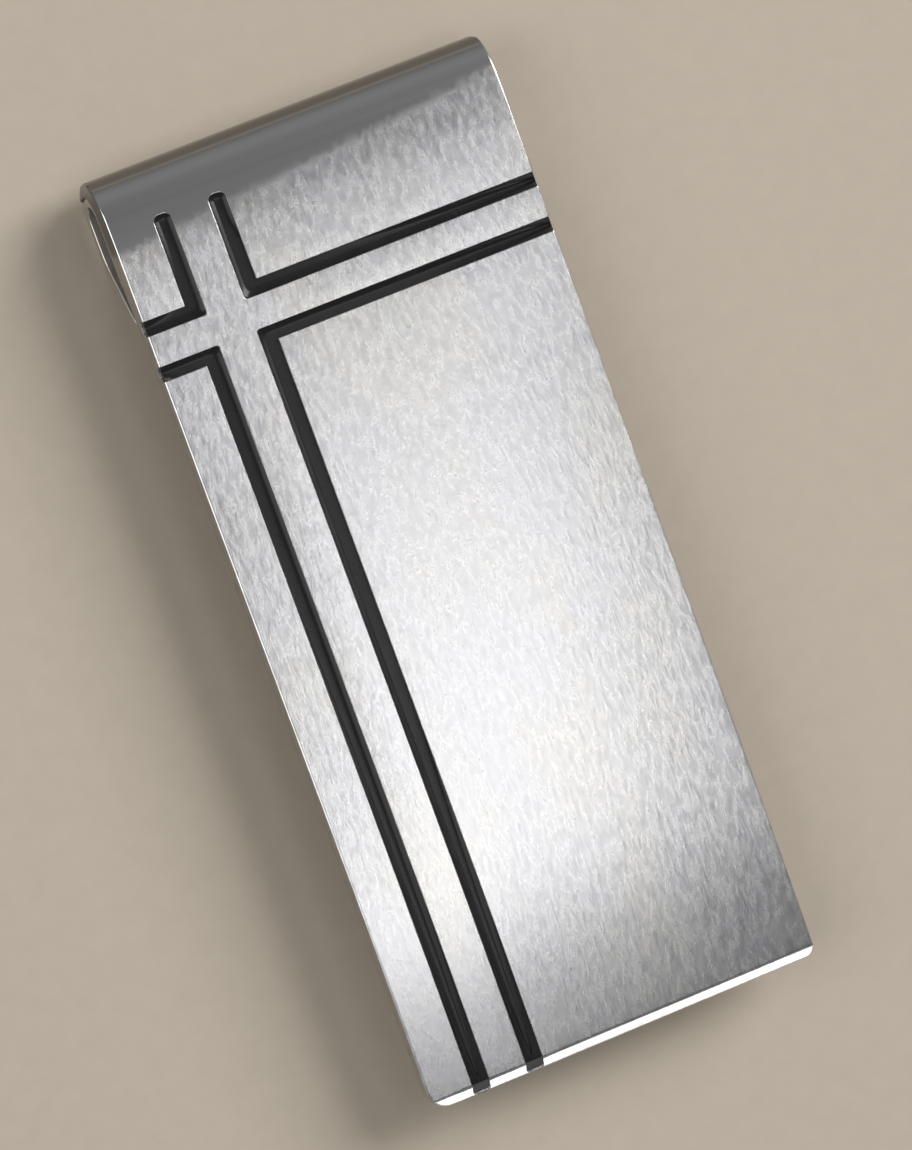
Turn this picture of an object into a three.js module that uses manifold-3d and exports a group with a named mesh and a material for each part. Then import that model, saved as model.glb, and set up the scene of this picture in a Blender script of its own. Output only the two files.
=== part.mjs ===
// Money clip: a thick steel plate with its top end rolled over, four black enamelled grooves in its face,
// and a spring leaf that is riveted under the rolled top and presses against the back of the plate.
//
// Frame, in millimetres: the clip lies on its back. X runs across the plate, Y along it with the rolled top
// at +Y, and Z up out of the decorated face. The origin is at the middle of the footprint, on the table.

import * as THREE from 'three';
import { mergeVertices } from 'three/addons/utils/BufferGeometryUtils.js';
import Module from 'manifold-3d';

const wasm = await Module();
wasm.setup();

// ---------------------------------------------------------------- plate
const plateWidth = 22.5;
const plateLength = 52;
const plateThickness = 1.6;
const overallDepth = 4.5;              // decorated face to the back of the loop
const endBevel = 0.5;                  // bright bevel along the open end
const openCornerRadiusLeft = 1.2;
const openCornerRadiusRight = 0.5;
const rolledCornerRadius = 0.3;
const lipAngle = 35;                   // how far the rolled top wraps past its tip, in degrees

// ---------------------------------------------------------------- grooves and enamel
const longGrooveWidth = 0.95;
const crossGrooveWidth = 0.78;
const grooveDepth = 0.7;
const longBandFromLeft = 4.45;         // left edge to the middle of the plain long band
const longBandPitch = 3.1;             // groove to groove across the long band
const crossBandFromTop = 9.35;         // rolled tip to the middle of the plain cross band
const crossBandPitch = 2.5;            // groove to groove along the plate
const longGrooveTopSetback = 2.8;      // rolled tip to the closed ends of the long grooves
const enamelGap = 0.03;                // groove wall to enamel
const enamelSetback = 0.06;            // enamel ends behind the plate's edges
const enamelRim = 0.08;                // enamel's edges below the face
const enamelHollow = 0.3;              // sag of the enamel's hollow surface

// ---------------------------------------------------------------- spring leaf
const leafThickness = 0.5;
const leafSeatGap = 0.03;              // leaf to the inside of the rolled top
const leafSideInset = 0.25;            // leaf's root is this much narrower than the plate on each side
const footLength = 3.5;                // flat foot against the back of the plate
const loopFlat = 1.45;                 // straight stretch at the back of the loop
const slopeAngle = 29;                 // the leaf leans back to the plate, in degrees
const slopeRadius = 3;
const crestRadius = 4;
const bowAngle = 3.6;                  // half the turn of the long shallow bow, in degrees
const flareAngle = 35;
const flareRadius = 3;
const tipCurl = 20;                    // the lip turns up again by this much, in degrees
const tipRadius = 2;
const tipSetback = 5;                  // plate's open end to the leaf's tip
const restGap = 0.15;                  // leaf's crests to the back of the plate
const shoulderFromTop = 8.3;           // rolled tip to the shoulders, where the leaf narrows
const shoulderRadius = 0.8;
const neckRadius = 2;
const neckWidth = 12.5;
const tipWidth = 10;
const tipCornerRadius = 3.5;
const flexFromLoop = 0.4;              // loop's end to the line about which the tongue springs
const flexGap = 0.2;                   // bend to tongue, at that line

// ---------------------------------------------------------------- rivets
const rivetRadius = 0.6;
const rivetHeadRadius = 1;
const rivetHeadHeight = 0.3;
const rivetDepth = 1;                  // blind hole in the back of the plate
const rivetFromFootEnd = 1.75;
const rivetGap = 0.02;

// ---------------------------------------------------------------- facets
const roundSteps = 24;                 // full turn of a small round feature
const bendSteps = 20;                  // half turn of a large bend
const overshoot = 1;                   // cutters stand this far out of what they cut

// ---------------------------------------------------------------- places that follow from the sizes
const topY = plateLength / 2;
const openY = -plateLength / 2;
const leftX = -plateWidth / 2;
const rightX = plateWidth / 2;
const faceZ = overallDepth;
const backZ = faceZ - plateThickness;
const rollRadius = overallDepth / 2;
const rollY = topY - rollRadius;
const leafOuterRadius = (backZ - leafSeatGap) / 2;
const leafMidRadius = leafOuterRadius - leafThickness / 2;
const hoodInnerRadius = leafOuterRadius + leafSeatGap;
const longBandX = leftX + longBandFromLeft;
const crossBandY = topY - crossBandFromTop;
const footEndY = rollY - footLength;
const footZ = backZ - leafSeatGap - leafThickness / 2;
const flexY = rollY - flexFromLoop;
const flexZ = leafThickness / 2;
const rivetY = footEndY + rivetFromFootEnd;

const radians = THREE.MathUtils.degToRad;

// ---------------------------------------------------------------- solids from three.js geometry

function solidOf(geometry) {
  geometry.deleteAttribute('normal');
  geometry.deleteAttribute('uv');
  const merged = mergeVertices(geometry, 1e-5);
  return new wasm.Manifold(new wasm.Mesh({
    numProp: 3,
    vertProperties: new Float32Array(merged.attributes.position.array),
    triVerts: new Uint32Array(merged.index.array),
  }));
}

function geometryOf(solid) {
  const mesh = solid.getMesh();
  const geometry = new THREE.BufferGeometry();
  geometry.setAttribute('position', new THREE.BufferAttribute(new Float32Array(mesh.vertProperties), 3));
  geometry.setIndex(new THREE.BufferAttribute(new Uint32Array(mesh.triVerts), 1));
  geometry.computeVertexNormals();
  return geometry;
}

// A side view in Y and Z, as wide as the given width, centred on X.
function acrossWidth(outline, width) {
  const geometry = new THREE.ExtrudeGeometry(new THREE.Shape(outline), {
    depth: width, bevelEnabled: false, steps: 1,
  });
  geometry.applyMatrix4(new THREE.Matrix4().makeBasis(
    new THREE.Vector3(0, 1, 0), new THREE.Vector3(0, 0, 1), new THREE.Vector3(1, 0, 0)));
  geometry.translate(-width / 2, 0, 0);
  return solidOf(geometry);
}

// A plan in X and Y, taller than the whole clip.
function throughHeight(shape) {
  const geometry = new THREE.ExtrudeGeometry(shape, {
    depth: overallDepth + 2 * overshoot, bevelEnabled: false, steps: 1, curveSegments: roundSteps / 4,
  });
  geometry.translate(0, 0, -overshoot);
  return solidOf(geometry);
}

// Points of an arc about a centre, both ends included; angles in degrees.
function arcPoints(centreX, centreY, radius, from, to) {
  const count = Math.max(2, Math.ceil(bendSteps * Math.abs(to - from) / 180));
  const curve = new THREE.EllipseCurve(
    centreX, centreY, radius, radius, radians(from), radians(to), to < from);
  return curve.getPoints(count);
}

// ---------------------------------------------------------------- plate

// Distance from the leaf's loop centre to the outside of the rolled top, along the lip's direction.
function lipReach() {
  const lift = rollRadius - leafOuterRadius;
  const along = lift * Math.sin(radians(lipAngle));
  return Math.sqrt(along * along + rollRadius * rollRadius - lift * lift) - along;
}

// Side view of the plate. Its rolled top is a crescent: thick at the face, thin at the lip, and round inside
// to fit the leaf's loop. An inset draws the open end that much further in.
function plateOutline(inset) {
  const reach = lipReach();
  const lipY = reach * Math.cos(radians(lipAngle));
  const lipZ = leafOuterRadius - reach * Math.sin(radians(lipAngle)) - rollRadius;
  const outerEnd = THREE.MathUtils.radToDeg(Math.atan2(lipZ, lipY));
  return [
    new THREE.Vector2(openY + inset, backZ),
    ...arcPoints(rollY, leafOuterRadius, hoodInnerRadius, 90, -lipAngle),
    ...arcPoints(rollY, rollRadius, rollRadius, outerEnd, 90),
    new THREE.Vector2(openY + endBevel + inset * Math.SQRT2, faceZ),
    new THREE.Vector2(openY + inset, faceZ - endBevel - inset * (Math.SQRT2 - 1)),
  ];
}

// Plan of the plate, with its four corners rounded.
function platePlan() {
  const plan = new THREE.Shape();
  plan.moveTo(leftX, topY - rolledCornerRadius);
  plan.lineTo(leftX, openY + openCornerRadiusLeft);
  plan.absarc(leftX + openCornerRadiusLeft, openY + openCornerRadiusLeft,
    openCornerRadiusLeft, Math.PI, 1.5 * Math.PI, false);
  plan.lineTo(rightX - openCornerRadiusRight, openY);
  plan.absarc(rightX - openCornerRadiusRight, openY + openCornerRadiusRight,
    openCornerRadiusRight, 1.5 * Math.PI, 2 * Math.PI, false);
  plan.lineTo(rightX, topY - rolledCornerRadius);
  plan.absarc(rightX - rolledCornerRadius, topY - rolledCornerRadius,
    rolledCornerRadius, 0, 0.5 * Math.PI, false);
  plan.lineTo(leftX + rolledCornerRadius, topY);
  plan.absarc(leftX + rolledCornerRadius, topY - rolledCornerRadius,
    rolledCornerRadius, 0.5 * Math.PI, Math.PI, false);
  return plan;
}

// ---------------------------------------------------------------- grooves

// Half section of a round-bottomed cutter: radius against height above the face.
function cutterProfile(radius, depth) {
  return [
    ...arcPoints(0, radius - depth, radius, -90, 0),
    new THREE.Vector2(radius, overshoot),
  ];
}

// The cutter standing at one point of its path.
function cutterPlunge(point, radius, depth) {
  const profile = [...cutterProfile(radius, depth), new THREE.Vector2(0, overshoot)];
  const geometry = new THREE.LatheGeometry(profile, roundSteps);
  geometry.rotateX(Math.PI / 2);
  geometry.translate(point.x, point.y, faceZ);
  return solidOf(geometry);
}

// The cutter run straight from one point to the next.
function cutterPass(from, to, radius, depth) {
  const half = cutterProfile(radius, depth);
  const mirrored = half.slice(1).reverse().map((p) => new THREE.Vector2(-p.x, p.y));
  const run = new THREE.Vector3().subVectors(to, from);
  const geometry = new THREE.ExtrudeGeometry(new THREE.Shape([...mirrored, ...half]), {
    depth: run.length(), bevelEnabled: false, steps: 1,
  });
  const up = new THREE.Vector3(0, 0, 1);
  const ahead = run.normalize();
  const side = new THREE.Vector3().crossVectors(up, ahead);
  geometry.applyMatrix4(new THREE.Matrix4().makeBasis(side, up, ahead));
  geometry.translate(from.x, from.y, faceZ);
  return solidOf(geometry);
}

// An L-shaped channel of the given depth: along the plate from startY to y, then across it from x to endX.
// It may be wider or narrower than the grooves by widthChange.
function channel({ x, y, startY, endX }, widthChange, depth) {
  const longRadius = (longGrooveWidth + widthChange) / 2;
  const crossRadius = (crossGrooveWidth + widthChange) / 2;
  const start = new THREE.Vector3(x, startY, 0);
  // A narrower channel sets off across the plate that much later, so that a fill is clear of its groove.
  const corner = new THREE.Vector3(x - Math.sign(endX - x) * widthChange / 2, y, 0);
  const end = new THREE.Vector3(endX, y, 0);
  // The wider cutter turns a little short of the corner, so that the outer walls of both legs meet.
  const turn = new THREE.Vector3(x, y + Math.sign(startY - y) * (longRadius - crossRadius), 0);
  return cutterPlunge(start, longRadius, depth)
    .add(cutterPass(start, turn, longRadius, depth))
    .add(cutterPlunge(turn, longRadius, depth))
    .add(cutterPass(corner, end, crossRadius, depth));
}

// The four grooves run round the corners where the two plain bands cross.
function groovePaths() {
  const closedY = topY - longGrooveTopSetback - longGrooveWidth / 2;
  const paths = {};
  for (const [side, sign, endX] of [['left', -1, leftX - overshoot], ['right', 1, rightX + overshoot]]) {
    const x = longBandX + sign * longBandPitch / 2;
    for (const [level, direction, startY] of [['upper', 1, closedY], ['lower', -1, openY - overshoot]]) {
      const y = crossBandY + direction * crossBandPitch / 2;
      paths[`${level}_${side}`] = { x, y, startY, endX };
    }
  }
  return paths;
}

// Black fill of one groove, hollow on top and just short of the plate's edges.
function enamelSolid(path) {
  const hollowDepth = enamelRim + enamelHollow;
  const halfWidth = longGrooveWidth / 2;
  const hollowRadius = (halfWidth * halfWidth + enamelHollow * enamelHollow) / (2 * enamelHollow);
  const bounds = acrossWidth(plateOutline(enamelSetback), plateWidth - 2 * enamelSetback);
  return channel(path, -2 * enamelGap, grooveDepth - enamelGap)
    .intersect(bounds)
    .subtract(channel(path, 2 * hollowRadius - longGrooveWidth, hollowDepth));
}

function plateSolid() {
  let plate = acrossWidth(plateOutline(0), plateWidth).intersect(throughHeight(platePlan()));
  for (const path of Object.values(groovePaths())) {
    plate = plate.subtract(channel(path, 0, grooveDepth));
  }
  for (const x of rivetPlaces()) {
    plate = plate.subtract(rivetHole(x, backZ - overshoot, backZ + rivetDepth + rivetGap));
  }
  return plate;
}

// ---------------------------------------------------------------- spring leaf

// A strip bent from flat stock: it walks along in the side view, going straight and turning.
class Strip {
  constructor(y, z, heading) {
    this.y = y;
    this.z = z;
    this.heading = heading;
    this.stations = [[y, z, heading]];
  }

  straight(length) {
    this.y += length * Math.cos(radians(this.heading));
    this.z += length * Math.sin(radians(this.heading));
    this.stations.push([this.y, this.z, this.heading]);
    return this;
  }

  // Turn by an angle in degrees, positive to the left, at the radius of the strip's middle.
  bend(radius, angle) {
    const count = Math.max(3, Math.ceil(bendSteps * Math.abs(angle) / 180));
    const side = Math.sign(angle);
    const centreY = this.y - side * radius * Math.sin(radians(this.heading));
    const centreZ = this.z + side * radius * Math.cos(radians(this.heading));
    for (let step = 1; step <= count; step += 1) {
      const heading = this.heading + angle * step / count;
      this.stations.push([
        centreY + side * radius * Math.sin(radians(heading)),
        centreZ - side * radius * Math.cos(radians(heading)),
        heading,
      ]);
    }
    [this.y, this.z, this.heading] = this.stations[this.stations.length - 1];
    return this;
  }

  outline() {
    const side = (offset) => this.stations.map(([y, z, heading]) => new THREE.Vector2(
      y - offset * Math.sin(radians(heading)), z + offset * Math.cos(radians(heading))));
    return [...side(-leafThickness / 2), ...side(leafThickness / 2).reverse()];
  }
}

const rise = (radius, angle) => radius * (1 - Math.cos(radians(angle)));
const reachOf = (radius, angle) => radius * Math.sin(radians(angle));

// Foot and loop: forward along the back of the plate, round under the rolled top, and back.
function bendStrip() {
  return new Strip(footEndY, footZ, 0)
    .straight(footLength)
    .bend(leafMidRadius, -180)
    .straight(flexFromLoop - flexGap / 2);
}

// Tongue: out of the loop, up a slope to the plate, along a shallow bow, and out again at the flared tip.
function tongueStrip() {
  const crestZ = backZ - restGap - leafThickness / 2;
  const lift = crestZ - flexZ;
  const slope = (lift - rise(slopeRadius, slopeAngle) - rise(crestRadius, slopeAngle))
    / Math.sin(radians(slopeAngle));
  const flare = (lift - rise(flareRadius, flareAngle) - rise(tipRadius, flareAngle))
    / Math.sin(radians(flareAngle));
  const slopeEndY = rollY - loopFlat - reachOf(slopeRadius, slopeAngle)
    - slope * Math.cos(radians(slopeAngle)) - reachOf(crestRadius, slopeAngle) - reachOf(crestRadius, bowAngle);
  const flareStartY = openY + tipSetback + reachOf(tipRadius, tipCurl) + reachOf(tipRadius, flareAngle)
    + flare * Math.cos(radians(flareAngle)) + reachOf(flareRadius, flareAngle) + reachOf(flareRadius, bowAngle);
  const bowRadius = (slopeEndY - flareStartY) / (2 * Math.sin(radians(bowAngle)));
  return new Strip(flexY - flexGap / 2, flexZ, 180)
    .straight(loopFlat - flexFromLoop - flexGap / 2)
    .bend(slopeRadius, -slopeAngle)
    .straight(slope)
    .bend(crestRadius, slopeAngle + bowAngle)
    .bend(bowRadius, -2 * bowAngle)
    .bend(flareRadius, bowAngle + flareAngle)
    .straight(flare)
    .bend(tipRadius, -(flareAngle + tipCurl));
}

// Plan of the leaf: full width in the loop, shoulders, and a tongue that tapers to a rounded tip.
function leafPlan() {
  const rootX = plateWidth / 2 - leafSideInset;
  const shoulderY = topY - shoulderFromTop;
  const tipY = openY + tipSetback;
  const half = new THREE.Path();
  half.moveTo(rootX, topY);
  half.lineTo(rootX, shoulderY + shoulderRadius);
  half.absarc(rootX - shoulderRadius, shoulderY + shoulderRadius, shoulderRadius, 0, -0.5 * Math.PI, true);
  half.lineTo(neckWidth / 2 + neckRadius, shoulderY);
  half.absarc(neckWidth / 2 + neckRadius, shoulderY - neckRadius, neckRadius, 0.5 * Math.PI, Math.PI, false);
  half.lineTo(tipWidth / 2, tipY + tipCornerRadius);
  half.absarc(tipWidth / 2 - tipCornerRadius, tipY + tipCornerRadius, tipCornerRadius, 0, -0.5 * Math.PI, true);
  const right = half.getPoints(roundSteps / 4);
  const left = right.map((p) => new THREE.Vector2(-p.x, p.y)).reverse();
  return new THREE.Shape([...right, ...left]);
}

function leafSolid(strip) {
  return acrossWidth(strip.outline(), plateWidth).intersect(throughHeight(leafPlan()));
}

function leafBendSolid() {
  let bend = leafSolid(bendStrip());
  for (const x of rivetPlaces()) {
    bend = bend.subtract(rivetHole(x, footZ - leafThickness, backZ));
  }
  return bend;
}

// ---------------------------------------------------------------- rivets

// One rivet stands under the plain long band, between its grooves, and one opposite.
function rivetPlaces() {
  return [longBandX, -longBandX];
}

function rivetHole(x, fromZ, toZ) {
  const geometry = new THREE.CylinderGeometry(
    rivetRadius + rivetGap, rivetRadius + rivetGap, toZ - fromZ, roundSteps);
  geometry.rotateX(Math.PI / 2);
  geometry.translate(x, rivetY, (fromZ + toZ) / 2);
  return solidOf(geometry);
}

// Shank up into the plate, domed head on the foot of the leaf.
function rivetGeometry(x) {
  const headZ = footZ - leafThickness / 2 - rivetGap;
  const domeRadius = (rivetHeadRadius * rivetHeadRadius + rivetHeadHeight * rivetHeadHeight)
    / (2 * rivetHeadHeight);
  const domeAngle = THREE.MathUtils.radToDeg(Math.asin(rivetHeadRadius / domeRadius));
  const profile = [
    ...arcPoints(0, headZ - rivetHeadHeight + domeRadius, domeRadius, -90, domeAngle - 90),
    new THREE.Vector2(rivetRadius, headZ),
    new THREE.Vector2(rivetRadius, backZ + rivetDepth),
    new THREE.Vector2(0, backZ + rivetDepth),
  ];
  const geometry = new THREE.LatheGeometry(profile, roundSteps);
  geometry.rotateX(Math.PI / 2);
  geometry.translate(x, rivetY, 0);
  return geometryOf(solidOf(geometry));
}

// ---------------------------------------------------------------- materials

function satinSteel() {
  return new THREE.MeshStandardMaterial({ color: 0xb9b8ba, metalness: 1, roughness: 0.35 });
}

function springSteel() {
  return new THREE.MeshStandardMaterial({ color: 0xa8a6a3, metalness: 1, roughness: 0.28 });
}

function rivetSteel() {
  return new THREE.MeshStandardMaterial({ color: 0xc4c2c0, metalness: 1, roughness: 0.25 });
}

function blackEnamel() {
  return new THREE.MeshStandardMaterial({ color: 0x1a191b, metalness: 0, roughness: 0.12 });
}

// ---------------------------------------------------------------- assembly

const clip = new THREE.Group();

function place(name, geometry, material) {
  const mesh = new THREE.Mesh(geometry, material);
  mesh.name = name;
  clip.add(mesh);
}

place('front_plate', geometryOf(plateSolid()), satinSteel());
for (const [corner, path] of Object.entries(groovePaths())) {
  place(`enamel_${corner}`, geometryOf(enamelSolid(path)), blackEnamel());
}
place('leaf_bend', geometryOf(leafBendSolid()), springSteel());
place('leaf_tongue', geometryOf(leafSolid(tongueStrip())), springSteel());
for (const [side, x] of [['left', rivetPlaces()[0]], ['right', rivetPlaces()[1]]]) {
  place(`leaf_rivet_${side}`, rivetGeometry(x), rivetSteel());
}

export default clip;
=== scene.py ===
# %% [markdown]
# # A steel money clip
#
# The clip is a thick steel plate whose top end is rolled over to the back. Four L-shaped grooves are cut in
# its face and filled with black enamel, and a spring leaf is riveted under the rolled top.
# This lesson models each of those pieces the way a hand would: start from a simple block, shape it in edit
# mode, cut it with other blocks, and soften its edges last.
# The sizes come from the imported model, which is loaded first and stays as it is.

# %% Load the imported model
import math
from contextlib import contextmanager

import bmesh
import bpy
from mathutils import Matrix, Vector


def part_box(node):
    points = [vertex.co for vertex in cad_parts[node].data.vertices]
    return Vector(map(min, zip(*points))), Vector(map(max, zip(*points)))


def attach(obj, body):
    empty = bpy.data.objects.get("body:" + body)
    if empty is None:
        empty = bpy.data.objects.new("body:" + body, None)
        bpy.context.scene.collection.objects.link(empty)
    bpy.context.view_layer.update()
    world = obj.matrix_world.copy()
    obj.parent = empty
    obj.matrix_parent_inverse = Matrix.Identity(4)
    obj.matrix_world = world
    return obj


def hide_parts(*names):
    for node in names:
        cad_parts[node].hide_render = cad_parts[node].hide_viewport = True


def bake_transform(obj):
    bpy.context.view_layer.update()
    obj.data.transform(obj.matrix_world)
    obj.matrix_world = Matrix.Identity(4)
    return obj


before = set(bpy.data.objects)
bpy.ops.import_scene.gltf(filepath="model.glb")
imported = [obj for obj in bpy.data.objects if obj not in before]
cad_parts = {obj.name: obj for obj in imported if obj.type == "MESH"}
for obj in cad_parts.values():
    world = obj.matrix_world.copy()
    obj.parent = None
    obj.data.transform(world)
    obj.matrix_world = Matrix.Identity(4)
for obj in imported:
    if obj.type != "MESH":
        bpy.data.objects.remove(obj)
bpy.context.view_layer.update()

MM = 0.001

# %% [markdown]
# ## Sizes
#
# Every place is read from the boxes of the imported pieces. What a box can't say, such as how thick the plate
# is behind its face or how tight the loop is bent, is a named value here, in metres.

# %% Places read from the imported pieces
plate_low, plate_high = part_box("front_plate")
bend_low, bend_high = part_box("leaf_bend")
tongue_low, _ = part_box("leaf_tongue")
rivet_boxes = {side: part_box(f"leaf_rivet_{side}") for side in ("left", "right")}
enamel_boxes = {
    corner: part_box(f"enamel_{corner}")
    for corner in ("upper_left", "upper_right", "lower_left", "lower_right")
}

left_x, right_x = plate_low.x, plate_high.x
open_y, top_y = plate_low.y, plate_high.y
face_z = plate_high.z
plate_thickness = 1.6 * MM
back_z = face_z - plate_thickness
roll_radius = face_z / 2
roll_y = top_y - roll_radius
spare = 1 * MM  # how far a cutter reaches past what it cuts
print(f"plate {(right_x - left_x) / MM:.1f} x {(top_y - open_y) / MM:.1f} mm, face at {face_z / MM:.1f} mm")

# %% Sizes of the spring leaf and its seat
leaf_thickness = 0.5 * MM
leaf_seat_gap = 0.03 * MM
loop_radius = (back_z - leaf_seat_gap) / 2
hood_radius = loop_radius + leaf_seat_gap
lip_angle = math.radians(35)
print(f"loop radius {loop_radius / MM:.3f} mm inside a hood of {hood_radius / MM:.3f} mm")

# %% [markdown]
# ## Helpers
#
# An operator in Blender acts on whatever is selected, so each step starts by selecting one piece, or by
# picking faces and edges of it by their place. Small helpers do that all through the lesson. The rest make a
# block, bevel picked edges, cut one solid with another, clean up, copy, and print how big a piece is.

# %% Selecting pieces, edges and faces


def take(piece):
    """Select one piece and nothing else."""
    bpy.ops.object.select_all(action="DESELECT")
    bpy.context.view_layer.objects.active = piece
    piece.select_set(True)


@contextmanager
def edit(piece):
    """Edit mode on one piece, with nothing of its mesh selected."""
    take(piece)
    bpy.ops.object.mode_set(mode="EDIT")
    bpy.ops.mesh.select_mode(type="FACE")
    bpy.ops.mesh.select_all(action="DESELECT")
    yield
    bpy.ops.object.mode_set(mode="OBJECT")


def pick_faces(piece, test):
    """In edit mode, select the faces whose middle and normal pass the test."""
    bpy.ops.mesh.select_mode(type="FACE")
    mesh = bmesh.from_edit_mesh(piece.data)
    for face in mesh.faces:
        face.select_set(test(face.calc_center_median(), face.normal))
    bmesh.update_edit_mesh(piece.data)


def pick_edges(piece, test):
    """In edit mode, select the edges whose two ends pass the test."""
    bpy.ops.mesh.select_mode(type="EDGE")
    mesh = bmesh.from_edit_mesh(piece.data)
    for edge in mesh.edges:
        edge.select_set(test(edge.verts[0].co, edge.verts[1].co))
    bmesh.update_edit_mesh(piece.data)


near = 1e-6


def close(a, b):
    """True when two places are the same, within a thousandth of a millimetre."""
    return abs(a - b) < near


# %% Blocks, cuts and rounded edges


def block(name, low, high):
    """A block between two corners, with its place in its mesh."""
    low, high = Vector(low), Vector(high)
    bpy.ops.object.select_all(action="DESELECT")
    bpy.ops.mesh.primitive_cube_add(size=1, location=(low + high) / 2)
    piece = bpy.context.object
    piece.name = name
    piece.scale = high - low
    bpy.ops.object.transform_apply(location=True, rotation=True, scale=True)
    return piece


def bevel_edges(piece, test, radius, segments):
    """Round the picked edges. One segment leaves a flat chamfer."""
    with edit(piece):
        pick_edges(piece, test)
        bpy.ops.mesh.bevel(offset=radius, offset_type="OFFSET", segments=segments, profile=0.5,
                           affect="EDGES", clamp_overlap=False)


def combine(piece, other, operation, keep=False):
    """Cut or join with another solid, which is used up unless it is kept."""
    take(piece)
    modifier = piece.modifiers.new("combine", "BOOLEAN")
    modifier.operation = operation
    modifier.solver = "MANIFOLD"
    modifier.object = other
    bpy.ops.object.modifier_apply(modifier=modifier.name)
    if not keep:
        bpy.data.objects.remove(other)


def tidy_mesh(piece, distance=0.5e-6):
    """Merge doubled points and turn every face outwards."""
    with edit(piece):
        bpy.ops.mesh.select_all(action="SELECT")
        bpy.ops.mesh.remove_doubles(threshold=distance)
        bpy.ops.mesh.normals_make_consistent(inside=False)


def twin(piece, name):
    """A copy with a mesh of its own."""
    take(piece)
    bpy.ops.object.duplicate()
    copy = bpy.context.object
    copy.name = name
    return copy


def report(piece):
    """Print how big the mesh is, and whether it is closed."""
    mesh = bmesh.new()
    mesh.from_mesh(piece.data)
    open_edges = sum(not edge.is_manifold for edge in mesh.edges)
    volume = mesh.calc_volume() / MM**3
    print(f"{piece.name}: {len(mesh.faces)} faces, {open_edges} open edges, {volume:.2f} mm3")
    mesh.free()


# %% [markdown]
# ## The front plate
#
# On the real clip this is one bar of stainless steel. The face end is flat, the other end is turned over
# into a hood with the section of a crescent, thick at the face and thin at the lip.
# It could be bent from a flat slab with a Simple Deform modifier, but the crescent isn't an even wall.
# So the outside and the inside are made as two full-round noses, and one is cut out of the other.

# %% A block with a full-round nose


nose_segments = 24


def nosed_block(name, low, high):
    """A block whose two long edges at +Y are rounded until they meet in one half-round nose."""
    piece = block(name, low, high)
    radius = (high[2] - low[2]) / 2
    bevel_edges(piece, lambda a, b: close(a.y, high[1]) and close(b.y, high[1]) and close(a.z, b.z),
                radius, nose_segments)
    tidy_mesh(piece)
    return piece


plate = nosed_block("front_plate_steel", (left_x - spare, open_y, 0), (right_x + spare, top_y, face_z))
cavity = nosed_block("cavity", (left_x - 2 * spare, open_y - spare, -leaf_seat_gap),
                     (right_x + 2 * spare, roll_y + hood_radius, back_z))
combine(plate, cavity, "DIFFERENCE")
report(plate)

# %% [markdown]
# The hood stops short at the back, in a lip that is cut off aslant. A block turned about the middle of the
# loop makes that cut. How far round the hood goes can't be seen from the front, so the angle is a guess.

# %% Trim the lip of the hood
lip = block("lip_trim", (left_x - 2 * spare, 0, -2 * roll_radius), (right_x + 2 * spare, 2 * roll_radius, 0))
lip.rotation_euler.x = -lip_angle
lip.location = (0, roll_y, loop_radius)
take(lip)
bpy.ops.object.transform_apply(location=True, rotation=True, scale=True)
combine(plate, lip, "DIFFERENCE")
report(plate)

# %% [markdown]
# The open end has a bright chamfer across the face, and the four corners are rounded in plan, the one at
# the lower left the most. A plan-shaped block, taller than the clip, trims the sides to size.

# %% Chamfer the open end and trim the plan
end_chamfer = 0.58 * MM
corner_radius = {"open_left": 1.2 * MM, "open_right": 0.5 * MM, "rolled": 0.3 * MM}
bevel_edges(plate, lambda a, b: all(close(p.y, open_y) and close(p.z, face_z) for p in (a, b)),
            end_chamfer, 1)

plan = block("plan", (left_x, open_y, -spare), (right_x, top_y, face_z + spare))


def upright(x, y):
    """A test for upright edges at one place in plan."""
    return lambda a, b: all(close(p.x, x) and close(p.y, y) for p in (a, b))


bevel_edges(plan, upright(left_x, open_y), corner_radius["open_left"], 12)
bevel_edges(plan, upright(right_x, open_y), corner_radius["open_right"], 8)
for x in (left_x, right_x):
    bevel_edges(plan, upright(x, top_y), corner_radius["rolled"], 4)
combine(plate, plan, "INTERSECT")
tidy_mesh(plate)
report(plate)

# %% [markdown]
# Steel that is carried in a pocket has no sharp edges left. A Bevel modifier rounds every edge that turns by
# more than its angle. It comes before the grooves, so that they are cut across an edge already round.

# %% Soften the outside edges
outside_round = 0.12 * MM
soften = plate.modifiers.new("soften", "BEVEL")
soften.limit_method = "ANGLE"
soften.angle_limit = math.radians(30)
soften.width = outside_round
soften.segments = 3
soften.use_clamp_overlap = False
take(plate)
bpy.ops.object.modifier_apply(modifier=soften.name)
report(plate)

# %% [markdown]
# ## Grooves
#
# Each groove runs along the plate and then turns across it to the nearer edge. A cutter for it is a bar
# with a leg pulled out of its side, rounded along the bottom, at the closed top and at the outer corner.

# %% Where the grooves run
long_groove = 0.95 * MM
cross_groove = 0.78 * MM
groove_depth = 0.7 * MM
enamel_gap = 0.03 * MM
bottom_radius = 0.3 * MM
outer_corner_radius = 0.18 * MM
closed_end_radius = 0.36 * MM
closed_end_y = enamel_boxes["upper_left"][1].y + enamel_gap


def groove_place(corner):
    """Outer corner of one L, and the signs of its legs: up or down the plate, left or right across it."""
    low, high = enamel_boxes[corner]
    along = 1 if corner.startswith("upper") else -1
    across = -1 if corner.endswith("left") else 1
    corner_x = high.x + enamel_gap if across < 0 else low.x - enamel_gap
    corner_y = low.y - enamel_gap if along > 0 else high.y + enamel_gap
    return corner_x, corner_y, along, across


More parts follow.
